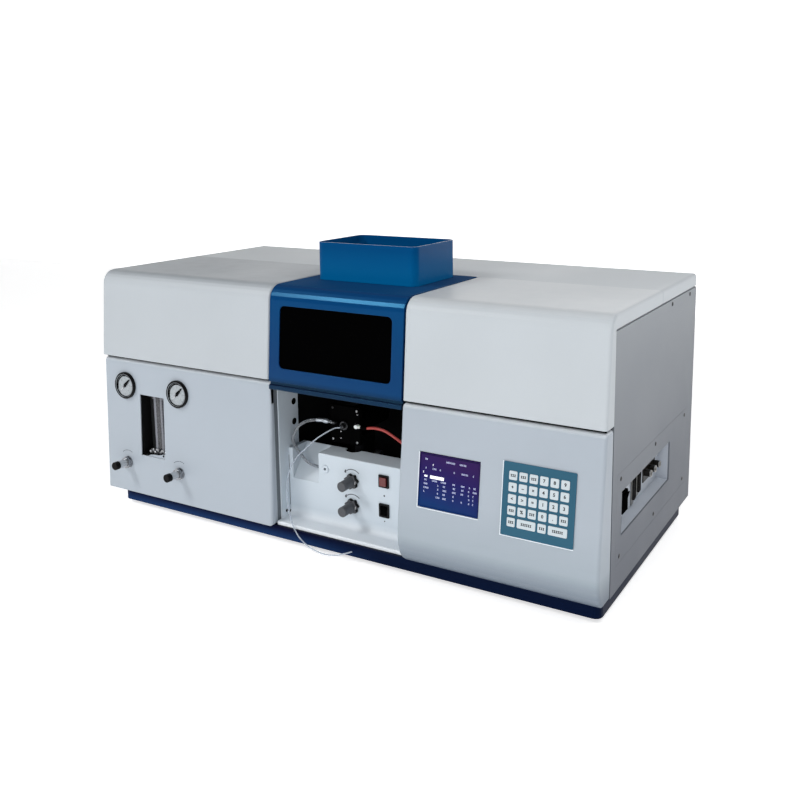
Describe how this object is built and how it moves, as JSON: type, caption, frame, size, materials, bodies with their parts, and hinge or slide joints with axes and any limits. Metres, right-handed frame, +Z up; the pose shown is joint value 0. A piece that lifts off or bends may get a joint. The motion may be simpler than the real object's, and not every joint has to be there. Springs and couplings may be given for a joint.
{
  "type": "atomic absorption spectrometer",
  "caption": "Bench atomic absorption spectrometer with a lamp bay, a flame bay under a lifting hood with a chimney, gas controls, and a display and keypad.",
  "frame": {"origin": "middle of the instrument's footprint on the bench, at the underside of the feet", "axes": "+X to the right as seen by the operator, +Y to the rear, +Z up"},
  "size_m": [1.02, 0.5455, 0.5256],
  "materials": {
    "white_enamel": "satin",
    "blue_enamel": "gloss",
    "navy_enamel": "satin",
    "black_enamel": "satin",
    "plated_steel": "brushed",
    "titanium": "brushed",
    "grey_casting": "cast",
    "brass_fitting": "satin",
    "black_rubber": "matt",
    "black_plastic": "satin",
    "grey_plastic": "satin",
    "white_plastic": "satin",
    "red_plastic": "satin",
    "keypad_film": "satin",
    "display_face": "gloss",
    "dark_pane": "gloss",
    "clear_acrylic": "gloss",
    "red_tube": "satin",
    "dark_tube": "satin",
    "clear_tube": "gloss"
  },
  "bodies": {
    "case": {"plinth": "navy_enamel", "front_foot": "black_rubber", "rear_foot": "black_rubber", "floor_pan": "plated_steel", "gas_panel": "white_enamel", "display_panel": "white_enamel", "rear_cover": "white_enamel", "detector_cover": "white_enamel", "left_side": "white_enamel", "right_side": "white_enamel", "access_plate": "white_enamel", "rear_panel": "white_enamel", "left_cheek": "white_enamel", "right_cheek": "white_enamel", "bay_liner": "black_enamel", "lift_cover": "white_enamel", "fuel_gauge": "black_plastic", "air_gauge": "black_plastic", "flowmeter_box": "black_plastic", "flowmeter_tube": "clear_acrylic", "fuel_valve_nut": "plated_steel", "air_valve_nut": "plated_steel", "display": "display_face", "keypad": "keypad_film", "igniter_frame": "black_plastic", "pump_frame": "black_plastic", "long_port": "plated_steel", "short_port": "plated_steel", "signal_sockets": "plated_steel", "mains_frame": "black_plastic", "fan_frame": "black_plastic", "fuel_inlet": "brass_fitting", "air_inlet": "brass_fitting", "mains_inlet": "black_plastic", "monochromator": "grey_casting"},
    "lamp_lid": {"lamp_cover": "white_enamel"},
    "hood_body": {"hood": "blue_enamel", "hood_window": "dark_pane", "chimney": "blue_enamel"},
    "turret": {"lamp_turret": "plated_steel"},
    "fuel_pointer": {"fuel_needle": "black_plastic"},
    "air_pointer": {"air_needle": "black_plastic"},
    "flow_float": {"flowmeter_float": "plated_steel"},
    "fuel_valve": {"fuel_valve_knob": "grey_plastic"},
    "air_valve": {"air_valve_knob": "grey_plastic"},
    "height_control": {"height_knob": "black_plastic"},
    "fore_aft_control": {"fore_aft_knob": "black_plastic"},
    "slide_body": {"cross_slide": "plated_steel"},
    "lift_body": {"burner_lift": "black_enamel", "spray_chamber": "black_plastic", "burner_head": "titanium", "nebuliser": "plated_steel", "fuel_elbow": "white_plastic", "fuel_hose": "red_tube", "drain_tube": "dark_tube", "sample_capillary": "clear_tube"},
    "igniter": {"igniter_button": "red_plastic"},
    "pump_switch": {"pump_rocker": "black_plastic"},
    "mains_switch": {"mains_rocker": "black_plastic"},
    "fan_wheel": {"fan_rotor": "black_plastic"}
  },
  "joints": [
    {"name": "lamp_cover_hinge", "type": "hinge", "parent": "case", "child": "lamp_lid", "pos_m": [-0.3045, 0.02795, 0.4583], "axis": [-1, 0, 0], "range_deg": [0, 70]},
    {"name": "hood_hinge", "type": "hinge", "parent": "case", "child": "hood_body", "pos_m": [0.037, 0.02795, 0.4583], "axis": [-1, 0, 0], "range_deg": [0, 60]},
    {"name": "lamp_turret_turn", "type": "hinge", "parent": "case", "child": "turret", "pos_m": [-0.44, -0.05455, 0.2743], "axis": [1, 0, 0], "continuous": true},
    {"name": "fuel_needle_turn", "type": "hinge", "parent": "case", "child": "fuel_pointer", "pos_m": [-0.4525, -0.23466, 0.2399], "axis": [0, 0.9993, -0.037], "range_deg": [-180, 90]},
    {"name": "air_needle_turn", "type": "hinge", "parent": "case", "child": "air_pointer", "pos_m": [-0.3167, -0.23466, 0.2399], "axis": [0, 0.9993, -0.037], "range_deg": [-180, 90]},
    {"name": "flow_float_rise", "type": "slide", "parent": "case", "child": "flow_float", "axis": [0, 0, 1], "range_m": [0, 0.094]},
    {"name": "fuel_valve_turn", "type": "hinge", "parent": "case", "child": "fuel_valve", "pos_m": [-0.4525, -0.23769, 0.0878], "axis": [0, 0.9993, -0.037], "range_deg": [-720, 0]},
    {"name": "air_valve_turn", "type": "hinge", "parent": "case", "child": "air_valve", "pos_m": [-0.3167, -0.23769, 0.0878], "axis": [0, 0.9993, -0.037], "range_deg": [-720, 0]},
    {"name": "cross_slide_travel", "type": "slide", "parent": "case", "child": "slide_body", "axis": [0, -1, 0], "range_m": [0, 0.006]},
    {"name": "fore_aft_knob_turn", "type": "hinge", "parent": "case", "child": "fore_aft_control", "pos_m": [0.0425, -0.18985, 0.0778], "axis": [0, 1, 0], "range_deg": [0, 180]},
    {"name": "burner_lift_travel", "type": "slide", "parent": "slide_body", "child": "lift_body", "axis": [0, 0, 1], "range_m": [0, 0.012]},
    {"name": "height_knob_turn", "type": "hinge", "parent": "case", "child": "height_control", "pos_m": [0.0425, -0.18985, 0.1228], "axis": [0, 1, 0], "range_deg": [0, 172]},
    {"name": "igniter_press", "type": "slide", "parent": "case", "child": "igniter", "axis": [0, 1, 0], "range_m": [0, 0.0025], "stiffness_N_per_m": 400, "springref_m": -0.001},
    {"name": "pump_rocker_tip", "type": "hinge", "parent": "case", "child": "pump_switch", "pos_m": [0.107, -0.18985, 0.0818], "axis": [-1, 0, 0], "range_deg": [0, 14]},
    {"name": "mains_rocker_tip", "type": "hinge", "parent": "case", "child": "mains_switch", "pos_m": [0.4983, -0.11055, 0.1463], "axis": [0, -1, 0], "range_deg": [0, 14]},
    {"name": "fan_spin", "type": "hinge", "parent": "case", "child": "fan_wheel", "pos_m": [0.29, 0.22715, 0.3293], "axis": [0, 1, 0], "continuous": true}
  ],
  "couplings": [
    {"joint": "fore_aft_knob_turn", "follows": "cross_slide_travel", "rad_per_m": 523.6},
    {"joint": "height_knob_turn", "follows": "burner_lift_travel", "rad_per_m": 250}
  ]
}
